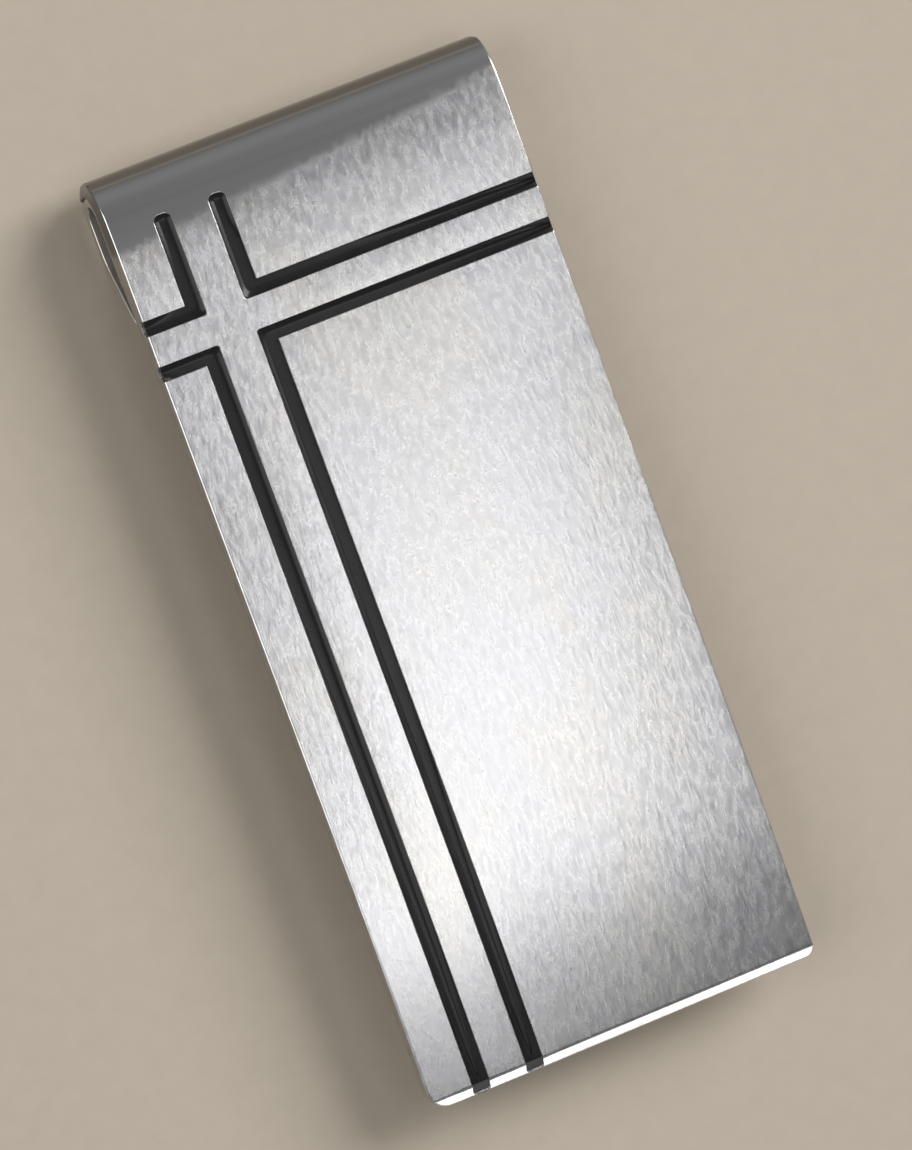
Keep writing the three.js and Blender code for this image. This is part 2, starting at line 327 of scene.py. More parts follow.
def groove_bar(name, corner, bottom, top, wider=0.0):
    """The two legs of one L as a bar, with flat sides and square corners."""
    corner_x, corner_y, along, across = groove_place(corner)
    corner_x -= across * wider
    corner_y -= along * wider
    end_y = closed_end_y + wider if along > 0 else open_y - spare
    end_x = left_x - spare if across < 0 else right_x + spare
    inner_x = corner_x + across * (long_groove + 2 * wider)
    inner_y = corner_y + along * (cross_groove + 2 * wider)
    xs, ys = sorted((corner_x, inner_x)), sorted((corner_y, end_y))
    bar = block(name, (xs[0], ys[0], bottom), (xs[1], ys[1], top))
    with edit(bar):
        bpy.ops.mesh.select_all(action="SELECT")
        bpy.ops.mesh.bisect(plane_co=(0, inner_y, 0), plane_no=(0, 1, 0))
        pick_faces(bar, lambda middle, normal: normal.x * across > 0.9
                   and (middle.y - inner_y) * along < 0)
        bpy.ops.mesh.extrude_region_move(TRANSFORM_OT_translate={"value": (end_x - inner_x, 0, 0)})
    tidy_mesh(bar)
    return bar


def groove_cutter(corner):
    """A groove's bar with its bottom, outer corner and closed end rounded."""
    bottom = face_z - groove_depth
    corner_x, corner_y, along, across = groove_place(corner)
    cutter = groove_bar(f"cutter_{corner}", corner, bottom, face_z + spare)
    bevel_edges(cutter, lambda a, b: close(a.z, bottom) and close(b.z, bottom), bottom_radius, 6)
    bevel_edges(cutter, upright(corner_x, corner_y), outer_corner_radius, 5)
    if along > 0:
        for x in (corner_x, corner_x + across * long_groove):
            bevel_edges(cutter, upright(x, closed_end_y), closed_end_radius, 8)
    tidy_mesh(cutter)
    return cutter


cutters = {corner: groove_cutter(corner) for corner in enamel_boxes}
for cutter in cutters.values():
    report(cutter)

# %% Cut the grooves, and keep the uncut plate to trim the enamel
blank = twin(plate, "uncut_plate")
for cutter in cutters.values():
    combine(plate, cutter, "DIFFERENCE", keep=True)
    tidy_mesh(plate)
report(plate)

# %% [markdown]
# ## Rivet holes, rims and a crowned face
#
# Two blind holes at the back take the rivets. Then every edge that is still sharp, which is mostly the rims
# of the grooves, loses a hair. Polishing does that to any edge, and it gives the bright line along the
# enamel.

# %% Drill the rivet holes and break the rims
hole_gap = 0.02 * MM
shank_radius = 0.6 * MM
rim_round = 0.05 * MM
rivet_y = (rivet_boxes["left"][0].y + rivet_boxes["left"][1].y) / 2
rivet_x = {name: (low.x + high.x) / 2 for name, (low, high) in rivet_boxes.items()}
shank_top = rivet_boxes["left"][1].z


def rod(name, x, y, low, high, radius, sides=48):
    """An upright rod with its place in its mesh."""
    bpy.ops.object.select_all(action="DESELECT")
    bpy.ops.mesh.primitive_cylinder_add(vertices=sides, radius=radius, depth=high - low,
                                        location=(x, y, (low + high) / 2))
    piece = bpy.context.object
    piece.name = name
    bpy.ops.object.transform_apply(location=True, rotation=True, scale=True)
    return piece


for name, x in rivet_x.items():
    drill = rod(f"drill_{name}", x, rivet_y, back_z - spare / 4, shank_top + hole_gap,
                shank_radius + hole_gap)
    combine(plate, drill, "DIFFERENCE")


def soften_edges(piece, width, segments, angle=30):
    """A narrow bevel along every edge that is sharper than the angle."""
    take(piece)
    modifier = piece.modifiers.new("soften", "BEVEL")
    modifier.limit_method = "ANGLE"
    modifier.angle_limit = math.radians(angle)
    modifier.width = width
    modifier.segments = segments
    modifier.use_clamp_overlap = False
    modifier.loop_slide = False
    bpy.ops.object.modifier_apply(modifier=modifier.name)
    tidy_mesh(piece)


soften_edges(plate, rim_round, 2, angle=32)
report(plate)

# %% [markdown]
# The face isn't made a dead flat. Hand polishing takes a little more off towards the sides and the ends of a
# bar, and the light runs over that slow curve. How much it takes off here is a guess. A lattice cage round
# the plate lowers the face, and the enamel goes through the same cage later, so that it stays level with its
# groove.
# A cage only moves points, so the broad faces are first sliced into a grid. The slices keep to the middle of
# the bands between grooves and edges: a thin sliver beside a rim would take its shading from the rim.

# %% Slice the plate into a grid
grid_step = 3.2 * MM
end_sag = 0.4 * MM
side_sag = 0.2 * MM
end_reach = 14 * MM
roll_start = roll_y - 2.6 * MM
roll_sag = 0.1 * MM
roll_slices = (4.0 * MM, 2.6 * MM, 1.35 * MM)


def slice_across(piece, axis, places):
    """Cut lines through the whole piece, square to one axis."""
    with edit(piece):
        for place in places:
            bpy.ops.mesh.select_all(action="SELECT")
            bpy.ops.mesh.bisect(plane_co=[place * a for a in axis], plane_no=axis, threshold=near)


def steps_between(low, high, step):
    """The middles of equal steps that fill a band."""
    count = int((high - low) / step)
    return [low + (high - low) * (i + 0.5) / count for i in range(count)]


left_wall, lower_wall, _, _ = groove_place("upper_left")
right_wall, _, _, _ = groove_place("upper_right")
_, upper_wall, _, _ = groove_place("lower_left")
grid_x = [(left_x + left_wall - long_groove) / 2, (left_wall + right_wall) / 2]
grid_x += steps_between(right_wall + long_groove, right_x, grid_step)
grid_y = steps_between(open_y, upper_wall - cross_groove, grid_step)
grid_y += [(lower_wall + upper_wall) / 2]
grid_y += [roll_y - drop for drop in roll_slices]
slice_across(plate, (1, 0, 0), grid_x)
slice_across(plate, (0, 1, 0), grid_y)
report(plate)

# %% A lattice cage that crowns the face


def crown_cage():
    """A cage round the plate whose top layer dips along the sides and towards the open end."""
    bpy.ops.object.select_all(action="DESELECT")
    bpy.ops.object.add(type="LATTICE", location=(0, 0, 0))
    cage = bpy.context.object
    cage.name = "crown_cage"
    across, along = 7, 53
    cage.data.points_u = across
    cage.data.points_v = along
    cage.data.points_w = 2
    cage.data.interpolation_type_u = "KEY_BSPLINE"
    cage.data.interpolation_type_v = "KEY_BSPLINE"
    cage.data.interpolation_type_w = "KEY_LINEAR"
    cage.location = (0, 0, (back_z + face_z) / 2)
    cage.scale = (right_x - left_x, top_y - open_y, face_z - back_z)
    for point in cage.data.points:
        place = Vector(point.co)
        if place.z < 0:
            continue
        x = 2 * place.x
        y = place.y * (top_y - open_y)
        to_end = max(0.0, (open_y + end_reach - y) / end_reach)
        from_roll = min(1.0, max(0.0, (roll_y - y) / end_reach))
        to_roll = max(0.0, (y - roll_start) / (roll_y - roll_start))
        dip = end_sag * to_end**2 + side_sag * x**4 * from_roll + roll_sag * to_roll**2
        point.co_deform.z = place.z - dip / (face_z - back_z)
    return cage


def crown(piece, cage):
    """Send a piece through the cage."""
    take(piece)
    modifier = piece.modifiers.new("crown", "LATTICE")
    modifier.object = cage
    bpy.ops.object.modifier_apply(modifier=modifier.name)


cage = crown_cage()
crown(plate, cage)
report(plate)

# %% [markdown]
# A bevelled piece that is simply shaded smooth looks swollen, because the narrow faces at an edge count about
# as much as the broad ones beside them. The Weighted Normal modifier lets the broad faces decide instead.

# %% Smooth shading that keeps flat faces flat


def enlarge(piece, factor):
    """Scale a piece's mesh about the origin."""
    piece.scale = (factor, factor, factor)
    bpy.ops.object.transform_apply(location=True, rotation=True, scale=True)


def smooth(piece, angle=40):
    """Shade smooth up to the angle, and let the broad faces set the normals next to narrow bevels."""
    take(piece)
    bpy.ops.object.shade_smooth_by_angle(angle=math.radians(angle))
    # The modifier compares areas, which are tiny in square metres. Enlarging the mesh first is a precaution,
    # and it may work as well without.
    enlarge(piece, 1 / MM)
    modifier = piece.modifiers.new("normals", "WEIGHTED_NORMAL")
    modifier.keep_sharp = True
    modifier.weight = 50
    bpy.ops.object.modifier_apply(modifier=modifier.name)
    enlarge(piece, MM)


smooth(plate)

# %% [markdown]
# ## The enamel
#
# Black enamel is poured into each groove and sinks as it cures, so it stands high along the walls and hollow
# in the middle. Each fill starts as the same L-shaped bar as its cutter, a little wider. Its top is inset
# four times, each time deeper, and a Subdivision Surface turns the steps into one smooth trough.
# It is then trimmed by the cutter to fit its groove, and by the uncut plate, moved inwards a little, so that
# its ends stand just behind the edges of the steel.

# %% A hollow-topped fill for each groove
enamel_rim = 0.04 * MM
enamel_hollow = 0.14 * MM
enamel_setback = 0.12 * MM
fill_spare = 0.1 * MM
inset_steps = [0.1 * MM, 0.11 * MM, 0.11 * MM, 0.1 * MM]


def hollow_at(from_wall):
    """Height of the enamel's surface above its rim, against the distance from the groove's wall."""
    half = long_groove / 2
    u = 1 - from_wall / half
    return enamel_hollow * (u * u - 1)


def enamel_fill(corner):
    """One fill, hollow on top and trimmed to its groove."""
    bottom = face_z - groove_depth - fill_spare
    top = face_z - enamel_rim + hollow_at(-fill_spare)
    fill = groove_bar(f"enamel_{corner}_fill", corner, bottom, top, wider=fill_spare)
    corner_x, _, along, across = groove_place(corner)
    if along > 0:
        for x in (corner_x - across * fill_spare, corner_x + across * (long_groove + fill_spare)):
            bevel_edges(fill, upright(x, closed_end_y + fill_spare), closed_end_radius + fill_spare, 6)
    with edit(fill):
        pick_faces(fill, lambda middle, normal: normal.z > 0.9)
        depth = -fill_spare
        for step in inset_steps:
            drop = hollow_at(depth + step) - hollow_at(depth)
            bpy.ops.mesh.inset(thickness=step, depth=drop, use_even_offset=True)
            depth += step
        pick_edges(fill, lambda a, b: min(a.z, b.z) < bottom + near or min(a.z, b.z) > top - near)
        bpy.ops.transform.edge_crease(value=1)
    take(fill)
    modifier = fill.modifiers.new("smooth", "SUBSURF")
    modifier.levels = modifier.render_levels = 3
    bpy.ops.object.modifier_apply(modifier=modifier.name)
    combine(fill, cutters[corner], "INTERSECT", keep=True)
    trim = twin(blank, "set_back_plate")
    bpy.ops.transform.translate(value=(-across * enamel_setback / 2, max(0, -along) * enamel_setback, 0))
    bpy.ops.object.transform_apply(location=True, rotation=True, scale=True)
    combine(fill, trim, "INTERSECT")
    tidy_mesh(fill)
    crown(fill, cage)
    smooth(fill, 35)
    report(fill)
    return fill


fills = {corner: enamel_fill(corner) for corner in enamel_boxes}
for spent in [*cutters.values(), blank, cage]:
    bpy.data.objects.remove(spent)

# %% [markdown]
# ## The spring leaf
#
# The leaf is one strip of spring steel, bent in a press: a flat foot, a half-round loop, a slope back to the
# plate, a long shallow bow and a flared lip. Only the loop can be seen from the front. The rest is a guess
# from ordinary spring leaves. A curve with a bevel could draw it, but extrude and spin follow the way it is
# bent: the end face is pulled straight, or turned about the centre of the bend.

# %% Bends of the leaf
loop_flat = 1.45 * MM
slope_angle = 29
slope_radius = 3 * MM
crest_radius = 4 * MM
bow_angle = 3.6
flare_angle = 35
flare_radius = 3 * MM
tip_curl = 20
tip_radius = 2 * MM
tip_setback = 5 * MM
rest_gap = 0.15 * MM
mid_radius = loop_radius - leaf_thickness / 2
foot_z = back_z - leaf_seat_gap - leaf_thickness / 2
root_wider = 0.17 * MM
root_half = (bend_high.x - bend_low.x) / 2 + root_wider


def rise(radius, degrees):
    """How far a bend lifts the strip."""
    return radius * (1 - math.cos(math.radians(degrees)))


def reach(radius, degrees):
    """How far a bend carries the strip along."""
    return radius * math.sin(math.radians(degrees))


def ramp(lift, degrees, first_radius, second_radius):
    """Straight length between two bends that together lift the strip."""
    left_over = lift - rise(first_radius, degrees) - rise(second_radius, degrees)
    return left_over / math.sin(math.radians(degrees))


class Press:
    """Bends a strip: it keeps the end face selected, and knows where that face is and where it points."""

    def __init__(self, y, z, heading):
        self.y, self.z, self.heading = y, z, heading

    def straight(self, length):
        step_y = length * math.cos(math.radians(self.heading))
        step_z = length * math.sin(math.radians(self.heading))
        bpy.ops.mesh.extrude_region_move(TRANSFORM_OT_translate={"value": (0, step_y, step_z)})
        self.y += step_y
        self.z += step_z

    def bend(self, radius, degrees, steps):
        side = math.copysign(1, degrees)
        turned = math.radians(self.heading)
        centre_y = self.y - side * radius * math.sin(turned)
        centre_z = self.z + side * radius * math.cos(turned)
        bpy.ops.mesh.spin(steps=steps, angle=-math.radians(degrees), center=(0, centre_y, centre_z),
                          axis=(1, 0, 0))
        self.heading += degrees
        turned = math.radians(self.heading)
        self.y = centre_y + side * radius * math.sin(turned)
        self.z = centre_z - side * radius * math.cos(turned)


# %% Press the strip
crest_lift = back_z - rest_gap - leaf_thickness
slope = ramp(crest_lift, slope_angle, slope_radius, crest_radius)
flare = ramp(crest_lift, flare_angle, flare_radius, tip_radius)
slope_end = (roll_y - loop_flat - reach(slope_radius, slope_angle)
             - slope * math.cos(math.radians(slope_angle))
             - reach(crest_radius, slope_angle) - reach(crest_radius, bow_angle))
flare_start = (open_y + tip_setback + reach(tip_radius, tip_curl) + reach(tip_radius, flare_angle)
               + flare * math.cos(math.radians(flare_angle))
               + reach(flare_radius, flare_angle) + reach(flare_radius, bow_angle))
bow_radius = (slope_end - flare_start) / (2 * math.sin(math.radians(bow_angle)))

leaf = block("spring_leaf", (-root_half - spare, bend_low.y, foot_z - leaf_thickness / 2),
             (root_half + spare, roll_y, foot_z + leaf_thickness / 2))
with edit(leaf):
    pick_faces(leaf, lambda middle, normal: normal.y > 0.9)
    press = Press(roll_y, foot_z, 0)
    press.bend(mid_radius, -180, 36)
    press.straight(loop_flat)
    press.bend(slope_radius, -slope_angle, 10)
    press.straight(slope)
    press.bend(crest_radius, slope_angle + bow_angle, 14)
    press.bend(bow_radius, -2 * bow_angle, 16)
    press.bend(flare_radius, bow_angle + flare_angle, 14)
    press.straight(flare)
    press.bend(tip_radius, -(flare_angle + tip_curl), 14)
tidy_mesh(leaf)
report(leaf)
leaf_ys = [vertex.co.y / MM for vertex in leaf.data.vertices]
leaf_zs = [vertex.co.z / MM for vertex in leaf.data.vertices]
print(f"leaf from y {min(leaf_ys):.2f} to {max(leaf_ys):.2f} mm,",
      f"z {min(leaf_zs):.2f} to {max(leaf_zs):.2f} mm")
print(f"packed tongue from y {tongue_low.y / MM:.2f} mm, packed bend to {bend_high.y / MM:.2f} mm")

# %% [markdown]
# The leaf is as wide as the plate only in its loop. Below the roll it steps in at two shoulders, and the
# tongue tapers to a round lip, so that it slips over folded notes. A second block, seen from above, is
# shaped to that outline and keeps only what lies inside it.

# %% Trim the leaf to its outline
shoulder_drop = 8.3 * MM
shoulder_y = top_y - shoulder_drop
shoulder_radius = 0.8 * MM
neck_radius = 2 * MM
neck_half = 6.25 * MM
tip_half = 5 * MM
tip_corner_radius = 3.5 * MM
tip_y = open_y + tip_setback
leaf_edge_round = 0.09 * MM

outline = block("leaf_outline", (-root_half, shoulder_y, -spare), (root_half, top_y + spare, face_z))
with edit(outline):
    for x in (-neck_half, neck_half):
        bpy.ops.mesh.select_all(action="SELECT")
        bpy.ops.mesh.bisect(plane_co=(x, 0, 0), plane_no=(1, 0, 0))
    pick_faces(outline, lambda middle, normal: normal.y < -0.9 and abs(middle.x) < neck_half / 2)
    bpy.ops.mesh.extrude_region_move(TRANSFORM_OT_translate={"value": (0, tip_y - shoulder_y, 0)})
    bpy.ops.transform.resize(value=(tip_half / neck_half, 1, 1))
tidy_mesh(outline)
for x in (-root_half, root_half):
    bevel_edges(outline, upright(x, shoulder_y), shoulder_radius, 8)
for x in (-neck_half, neck_half):
    bevel_edges(outline, upright(x, shoulder_y), neck_radius, 10)
for x in (-tip_half, tip_half):
    bevel_edges(outline, upright(x, tip_y), tip_corner_radius, 16)
tidy_mesh(outline)
combine(leaf, outline, "INTERSECT")
for name, x in rivet_x.items():
    drill = rod(f"punch_{name}", x, rivet_y, foot_z - leaf_thickness, back_z - near, shank_radius + hole_gap)
    combine(leaf, drill, "DIFFERENCE")
soften_edges(leaf, leaf_edge_round, 3)
smooth(leaf)
report(leaf)

# %% [markdown]
# ## The rivets
#
# Two small rivets hold the foot of the leaf under the roll. They are a guess: the leaf has to be fastened
# there, and nothing of it can be seen from outside. A rivet is a rod whose lower end is drawn out into a
# flange and pulled in again, step by step, into a low dome.

# %% Two rivets
head_radius = 1 * MM
head_height = 0.3 * MM
dome_steps = 6


def rivet(name):
    """A rod with a low domed head at its lower end."""
    head_top = foot_z - leaf_thickness / 2 - hole_gap
    piece = rod(f"rivet_{name}", rivet_x[name], rivet_y, head_top, shank_top, shank_radius)
    middle = (rivet_x[name], rivet_y, head_top)
    with edit(piece):
        pick_faces(piece, lambda middle, normal: normal.z < -0.9)
        bpy.ops.mesh.extrude_region_move(TRANSFORM_OT_translate={"value": (0, 0, 0)})
        bpy.ops.transform.resize(value=(head_radius / shank_radius, head_radius / shank_radius, 1),
                                 center_override=middle)
        width, depth = 1.0, 0.0
        for step in range(1, dome_steps + 1):
            slice_angle = 0.5 * math.pi * step / (dome_steps + 1)
            new_width, new_depth = math.cos(slice_angle), math.sin(slice_angle)
            bpy.ops.mesh.extrude_region_move(
                TRANSFORM_OT_translate={"value": (0, 0, -(new_depth - depth) * head_height)})
            bpy.ops.transform.resize(value=(new_width / width, new_width / width, 1), center_override=middle)
            width, depth = new_width, new_depth
    tidy_mesh(piece)
    smooth(piece, 50)
    report(piece)
    return piece


rivets = {name: rivet(name) for name in rivet_x}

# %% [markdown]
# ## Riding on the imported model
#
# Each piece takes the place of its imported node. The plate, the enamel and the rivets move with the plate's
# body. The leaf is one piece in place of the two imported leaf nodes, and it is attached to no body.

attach(plate, "plate")
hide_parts("front_plate")
for corner, fill in fills.items():
    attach(fill, "plate")
    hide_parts(f"enamel_{corner}")
for name, piece in rivets.items():
    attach(piece, "plate")
    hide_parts(f"leaf_rivet_{name}")
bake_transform(leaf)
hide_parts("leaf_bend", "leaf_tongue")

# %% [markdown]
# ## Materials
#
# Each finish is a Principled shader whose colour, roughness and bump come from noise on Object coordinates,
# in real millimetres, so a pattern keeps its size and doesn't slide when a piece moves. Nodes are added by a
# small class, which places them side by side and joins them.

# %% Node helpers


class Nodes:
    """Adds nodes to a material or group, and joins them by socket name."""

    def __init__(self, tree):
        self.tree = tree
        self.column = 0

    def add(self, kind, **settings):
        node = self.tree.nodes.new(kind)
        node.location = (self.column, 0)
        self.column += 180
        for key, value in settings.items():
            setattr(node, key, value)
        return node

    def join(self, source, target):
        self.tree.links.new(source, target)

    def put(self, socket, value):
        if isinstance(value, bpy.types.NodeSocket):
            self.join(value, socket)
        else:
            socket.default_value = value

    def math(self, operation, a, b=0.0, clamp=False):
        node = self.add("ShaderNodeMath", operation=operation, use_clamp=clamp)
        self.put(node.inputs[0], a)
        self.put(node.inputs[1], b)
        return node.outputs[0]

    def step(self, value, low, high):
        """0 below low, 1 above high, smooth between."""
        node = self.add("ShaderNodeMapRange", interpolation_type="SMOOTHSTEP")
        self.put(node.inputs["Value"], value)
        self.put(node.inputs["From Min"], low)
        self.put(node.inputs["From Max"], high)
        return node.outputs["Result"]

    def mix(self, factor, a, b):
        node = self.add("ShaderNodeMix", data_type="RGBA")
        self.put(node.inputs[0], factor)
        self.put(node.inputs[6], a)
        self.put(node.inputs[7], b)
        return node.outputs[2]

    def blend(self, factor, a, b):
        node = self.add("ShaderNodeMix", data_type="FLOAT")
        self.put(node.inputs[0], factor)
        self.put(node.inputs[2], a)
        self.put(node.inputs[3], b)
        return node.outputs[0]

    def line(self, value, slope, start):
        """The value times the slope, plus the start."""
        return self.math("ADD", self.math("MULTIPLY", value, slope), start)

    def noise(self, place, scale, detail=2.0, roughness=0.5, distortion=0.0):
        node = self.add("ShaderNodeTexNoise")
        self.put(node.inputs["Vector"], place)
        self.put(node.inputs["Scale"], scale)
        self.put(node.inputs["Detail"], detail)
        self.put(node.inputs["Roughness"], roughness)
        self.put(node.inputs["Distortion"], distortion)
        return node.outputs["Fac"]

    def stretch(self, place, sizes):
        """Pattern sizes in metres along X, Y and Z."""
        node = self.add("ShaderNodeVectorMath", operation="MULTIPLY")
        self.put(node.inputs[0], place)
        self.put(node.inputs[1], [1 / size for size in sizes])
        return node.outputs[0]


def new_group(name, inputs, outputs):
    """A node group with named inputs and outputs, each with its default."""
    group = bpy.data.node_groups.new(name, "ShaderNodeTree")
    for label, kind, default in inputs:
        socket = group.interface.new_socket(label, in_out="INPUT", socket_type=kind)
        if default is not None:
            socket.default_value = default
    for label, kind in outputs:
        group.interface.new_socket(label, in_out="OUTPUT", socket_type=kind)
    nodes = Nodes(group)
    return group, nodes, nodes.add("NodeGroupInput").outputs, nodes.add("NodeGroupOutput").inputs


FLOAT, VECTOR = "NodeSocketFloat", "NodeSocketVector"

# %% [markdown]
# Hand-rubbed steel has two marks on it: short crinkled flats a few tenths of a millimetre wide, drawn out
# along the rubbing, and hair-fine scratches. Both the plate and the leaf have them, in different strengths,
# so they are one node group.

# %% Rubbed steel grain


hair_size = (0.035 * MM, 1.6 * MM, 0.035 * MM)
hair_depth = 0.18


def rubbed_grain():
    """A group that turns a place on the steel into flats, hairs and the height of both together."""
    group, nodes, given, result = new_group(
        "rubbed_grain",
        [("Place", VECTOR, None), ("Flat width", FLOAT, 0.35), ("Stretch", FLOAT, 3.0)],
        [("Flats", FLOAT), ("Hairs", FLOAT), ("Height", FLOAT)])
    to_mm = nodes.add("ShaderNodeVectorMath", operation="SCALE")
    nodes.put(to_mm.inputs[0], given["Place"])
    to_mm.inputs["Scale"].default_value = 1 / MM
    parts = nodes.add("ShaderNodeSeparateXYZ")
    nodes.put(parts.inputs[0], to_mm.outputs[0])
    across = nodes.math("DIVIDE", parts.outputs["X"], given["Flat width"])
    length = nodes.math("MULTIPLY", given["Flat width"], given["Stretch"])
    along = nodes.math("DIVIDE", parts.outputs["Y"], length)
    height = nodes.math("DIVIDE", parts.outputs["Z"], given["Flat width"])
    place = nodes.add("ShaderNodeCombineXYZ")
    for axis, value in zip("XYZ", (across, along, height)):
        nodes.put(place.inputs[axis], value)
    flats = nodes.noise(place.outputs[0], 1.0, detail=5.0, roughness=0.6, distortion=0.15)
    hairs = nodes.noise(nodes.stretch(given["Place"], hair_size), 1.0, detail=2.0)
    nodes.put(result["Flats"], flats)
    nodes.put(result["Hairs"], hairs)
    nodes.put(result["Height"], nodes.math("ADD", flats, nodes.math("MULTIPLY", hairs, hair_depth)))
    return group


rubbed = rubbed_grain()
print("grain gives:", [item.name for item in rubbed.interface.items_tree if item.in_out == "OUTPUT"])

# %% [markdown]
# Every material starts in the same way, with a shader joined to its output. A bump node and the step that
# gives a piece its finish are also the same each time.

# %% A new material with its shader


def new_material(name):
    """An empty material, and a shader joined to its output."""
    material = bpy.data.materials.new(name)
    material.use_nodes = True
    material.node_tree.nodes.clear()
    nodes = Nodes(material.node_tree)
    shader = nodes.add("ShaderNodeBsdfPrincipled")
    output = nodes.add("ShaderNodeOutputMaterial")
    nodes.join(shader.outputs[0], output.inputs[0])
    return material, nodes, shader


def add_bump(nodes, shader, height, distance, strength=1.0):
    """Raise and lower the surface by a pattern, in the shading only."""
    bump = nodes.add("ShaderNodeBump")
    bump.inputs["Distance"].default_value = distance
    nodes.put(bump.inputs["Strength"], strength)
    nodes.put(bump.inputs["Height"], height)
    nodes.put(shader.inputs["Normal"], bump.outputs[0])


def finish_with(piece, material):
    """Give a piece its material, and nothing else."""
    piece.data.materials.clear()
    piece.data.materials.append(material)
    print(f"{piece.name}: {material.name}, {len(material.node_tree.nodes)} nodes")


# %% [markdown]
# The plate is rubbed satin on its face and polished over the roll and along its edges. One material does
# both, with masks read from the place and the direction of the surface.
# Two of its tones are painted light, put in the steel's colour so that they don't depend on the lights. The
# field darkens towards the open end, which is painted shade, and the roll has a dark ground with a brighter
# band, which are painted shade and a painted reflection.

# %% Satin steel for the plate
polish_low = top_y - 3.25 * MM
polish_high = top_y - 2.6 * MM
polish_slant = 0.1
polish_waver = 1.6 * MM
# Painted shade: the face's colour darkens between these two places towards the open end.
painted_shade_start = open_y + 11 * MM
painted_shade_full = open_y + 1 * MM
painted_shade_most = 0.6
polished_roughness = 0.18


def satin_steel():
    """Satin face, polished roll and edges."""
    material, nodes, shader = new_material("satin_steel")
    where = nodes.add("ShaderNodeTexCoord")
    place = where.outputs["Object"]
    parts = nodes.add("ShaderNodeSeparateXYZ")
    nodes.put(parts.inputs[0], place)
    normal = nodes.add("ShaderNodeSeparateXYZ")
    nodes.put(normal.inputs[0], where.outputs["Normal"])

    grain = nodes.add("ShaderNodeGroup", node_tree=rubbed)
    nodes.put(grain.inputs["Place"], place)
    grain.inputs["Flat width"].default_value = 0.34
    grain.inputs["Stretch"].default_value = 2.8

    # The roll is polished down to a wavering line that slants across the plate.
    slant = nodes.math("MULTIPLY", parts.outputs["X"], polish_slant)
    line = nodes.math("SUBTRACT", parts.outputs["Y"], slant)
    waver = nodes.math("MULTIPLY", nodes.math("SUBTRACT", grain.outputs["Flats"], 0.5), polish_waver)
    rolled = nodes.step(nodes.math("ADD", line, waver), polish_low, polish_high)
    edges = nodes.step(normal.outputs["Z"], 0.985, 0.93)
    polished = nodes.math("MAXIMUM", rolled, edges)

    cloud = nodes.noise(nodes.stretch(place, (5 * MM, 9 * MM, 5 * MM)), 1.0, detail=3.0)
    tint = nodes.mix(nodes.step(cloud, 0.42, 0.7), (0.86, 0.855, 0.87, 1), (0.87, 0.86, 0.835, 1))
    worn = nodes.mix(nodes.step(grain.outputs["Flats"], 0.3, 0.7),
                     (0.74, 0.735, 0.745, 1), (1.0, 1.0, 1.0, 1))
    face = nodes.add("ShaderNodeMix", data_type="RGBA", blend_type="MULTIPLY")
    face.inputs[0].default_value = 1.0
    nodes.put(face.inputs[6], tint)
    nodes.put(face.inputs[7], worn)
    # Painted shade: the field darkens towards the open end, but the bevel and the edges stay bright.
    painted_end_shade = nodes.step(parts.outputs["Y"], painted_shade_start, painted_shade_full)
    painted_end_shade = nodes.math("MULTIPLY", painted_end_shade, nodes.math("SUBTRACT", painted_shade_most, edges, clamp=True))
    field = nodes.mix(painted_end_shade, face.outputs[2], (0.25, 0.245, 0.25, 1))

    # Painted reflection and painted shade: as the roll turns away from the front, its colour goes from grey
    # to a brighter band and then to dark.
    turned = nodes.step(normal.outputs["Z"], 0.97, 0.84)
    back = nodes.step(normal.outputs["Z"], 0.82, 0.6)
    painted_roll_light = nodes.mix(turned, (0.6, 0.6, 0.595, 1), (0.85, 0.855, 0.85, 1))
    painted_roll_light = nodes.mix(back, painted_roll_light, (0.22, 0.22, 0.22, 1))
    nodes.put(shader.inputs["Base Color"], nodes.mix(rolled, field, painted_roll_light))

    satin = nodes.line(grain.outputs["Flats"], 0.16, 0.18)
    nodes.put(shader.inputs["Roughness"], nodes.blend(polished, satin, polished_roughness))
    shader.inputs["Metallic"].default_value = 1.0
    add_bump(nodes, shader, grain.outputs["Height"], 0.009 * MM, nodes.blend(polished, 1.0, 0.05))
    return material


finish_with(plate, satin_steel())

# %% [markdown]
# The enamel is a black resin that has cured glossy, with a trace of cloud in it. Its roughness varies a
# little, so that the line of light along the hollow isn't ruled.

# %% Black enamel


def black_enamel():
    """Glossy black resin."""
    material, nodes, shader = new_material("black_enamel")
    place = nodes.add("ShaderNodeTexCoord").outputs["Object"]
    cloud = nodes.noise(nodes.stretch(place, (1.5 * MM,) * 3), 1.0, detail=3.0)
    nodes.put(shader.inputs["Base Color"],
              nodes.mix(cloud, (0.008, 0.007, 0.008, 1), (0.014, 0.013, 0.014, 1)))
    nodes.put(shader.inputs["Roughness"], nodes.line(cloud, 0.12, 0.2))
    shader.inputs["IOR"].default_value = 1.4
    return material


enamel = black_enamel()
for fill in fills.values():
    finish_with(fill, enamel)

# %% [markdown]
# The leaf is brushed along its length and a little duller than the plate. It uses the same grain, narrower
# and longer. The rivets are bright, with the small dents that setting them leaves.

# %% Spring steel and rivet steel


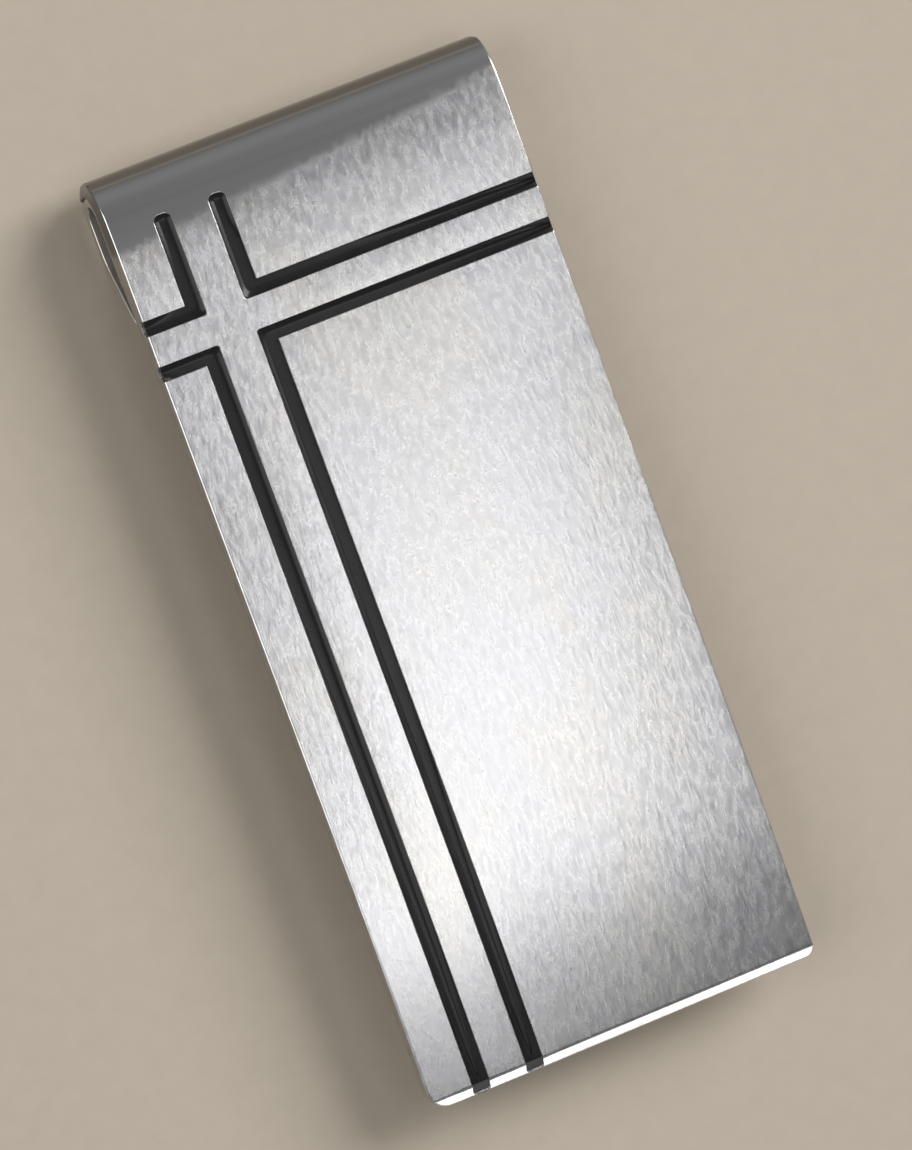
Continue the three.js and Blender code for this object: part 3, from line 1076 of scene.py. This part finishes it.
def spring_steel():
    """Finely brushed steel for the leaf."""
    material, nodes, shader = new_material("spring_steel")
    place = nodes.add("ShaderNodeTexCoord").outputs["Object"]
    grain = nodes.add("ShaderNodeGroup", node_tree=rubbed)
    nodes.put(grain.inputs["Place"], place)
    grain.inputs["Flat width"].default_value = 0.2
    grain.inputs["Stretch"].default_value = 8.0
    nodes.put(shader.inputs["Base Color"],
              nodes.mix(grain.outputs["Flats"], (0.66, 0.645, 0.615, 1), (0.82, 0.8, 0.77, 1)))
    nodes.put(shader.inputs["Roughness"], nodes.line(grain.outputs["Hairs"], 0.14, 0.32))
    shader.inputs["Metallic"].default_value = 1.0
    add_bump(nodes, shader, grain.outputs["Height"], 0.006 * MM)
    return material


def rivet_steel():
    """Bright steel with small dents."""
    material, nodes, shader = new_material("rivet_steel")
    place = nodes.add("ShaderNodeTexCoord").outputs["Object"]
    dents = nodes.noise(nodes.stretch(place, (0.3 * MM,) * 3), 1.0, detail=3.0)
    nodes.put(shader.inputs["Base Color"],
              nodes.mix(dents, (0.6, 0.59, 0.58, 1), (0.74, 0.73, 0.72, 1)))
    nodes.put(shader.inputs["Roughness"], nodes.line(dents, 0.2, 0.14))
    shader.inputs["Metallic"].default_value = 1.0
    add_bump(nodes, shader, dents, 0.01 * MM)
    return material


finish_with(leaf, spring_steel())
rivet_finish = rivet_steel()
for piece in rivets.values():
    finish_with(piece, rivet_finish)

# %% [markdown]
# ## The floor, the light and the camera
#
# The clip lies on a sheet of pale paper, which is a plain plane with a faint fibre in its colour.

# %% Floor


def paper():
    """Pale, dull paper."""
    material, nodes, shader = new_material("pale_paper")
    place = nodes.add("ShaderNodeTexCoord").outputs["Object"]
    fibre = nodes.noise(nodes.stretch(place, (1.2 * MM,) * 3), 1.0, detail=5.0, roughness=0.6)
    nodes.put(shader.inputs["Base Color"], nodes.mix(fibre, (0.5, 0.44, 0.365, 1), (0.56, 0.495, 0.41, 1)))
    shader.inputs["Roughness"].default_value = 0.9
    shader.inputs["Specular IOR Level"].default_value = 0.2
    return material


bpy.ops.object.select_all(action="DESELECT")
bpy.ops.mesh.primitive_plane_add(size=3, location=(0, 0, 0))
floor = bpy.context.object
floor.name = "floor"
finish_with(floor, paper())

# %% [markdown]
# Steel mirrors its lights, so where they stand and how large they are matters as much as their strength. A
# small panel gives the bright field on the face, a broad window and a weaker fill on the other side light the
# floor, and a low card in front lights the bevel at the open end.

# %% Lights
scene = bpy.context.scene
scene.view_settings.view_transform = "Standard"
world = bpy.data.worlds.new("studio")
scene.world = world
world.use_nodes = True
world.node_tree.nodes["Background"].inputs["Color"].default_value = (0.98, 0.985, 1.0, 1)
world.node_tree.nodes["Background"].inputs["Strength"].default_value = 0.19


def panel(name, place, aim, width, height, watts, colour=(1, 1, 1)):
    """A soft rectangular light that faces a point."""
    data = bpy.data.lights.new(name, "AREA")
    data.shape = "RECTANGLE"
    data.size, data.size_y = width, height
    data.energy = watts
    data.color = colour
    lamp = bpy.data.objects.new(name, data)
    scene.collection.objects.link(lamp)
    lamp.location = place
    lamp.rotation_euler = (Vector(aim) - Vector(place)).to_track_quat("-Z", "Y").to_euler()


centre = Vector((0, 0, face_z))
panel("bright_panel", (0.0775, -0.078, 0.404), centre, 0.145, 0.045, 0.068)
panel("window", (0.62, 0.25, 0.5), centre, 0.5, 0.5, 6.2, (1.0, 0.985, 0.96))
panel("fill", (-0.5, 0.1, 0.45), centre, 0.5, 0.5, 1.6, (1.0, 0.98, 0.95))
panel("front_card", (0.10, -0.42, 0.065), centre, 0.3, 0.12, 0.2)

# %% [markdown]
# The camera is a long lens some 0.4 m away, turned about the view so that the clip lies aslant in the frame.
# It is set by how far it leans to the left and to the top, so that each number changes one thing.

# %% Camera
tilt_left = math.radians(13.68)
tilt_top = math.radians(6.64)
roll = math.radians(20.84)
distance = 418.7 * MM
aim = Vector((-0.24 * MM, 0.05 * MM, face_z))

towards = Vector((-math.tan(tilt_left), math.tan(tilt_top), 1)).normalized()
across = Vector((math.sin(roll), math.cos(roll), 0)).cross(towards).normalized()
upwards = towards.cross(across)
camera_data = bpy.data.cameras.new("camera")
camera_data.lens = 250.6
camera_data.sensor_width = 36
camera_data.clip_start = 0.01
camera = bpy.data.objects.new("camera", camera_data)
scene.collection.objects.link(camera)
camera.matrix_world = Matrix.Translation(aim + distance * towards) @ Matrix(
    (across, upwards, towards)).transposed().to_4x4()
scene.camera = camera
print(f"camera {distance / MM:.0f} mm from the face, lens {camera_data.lens:.0f} mm")
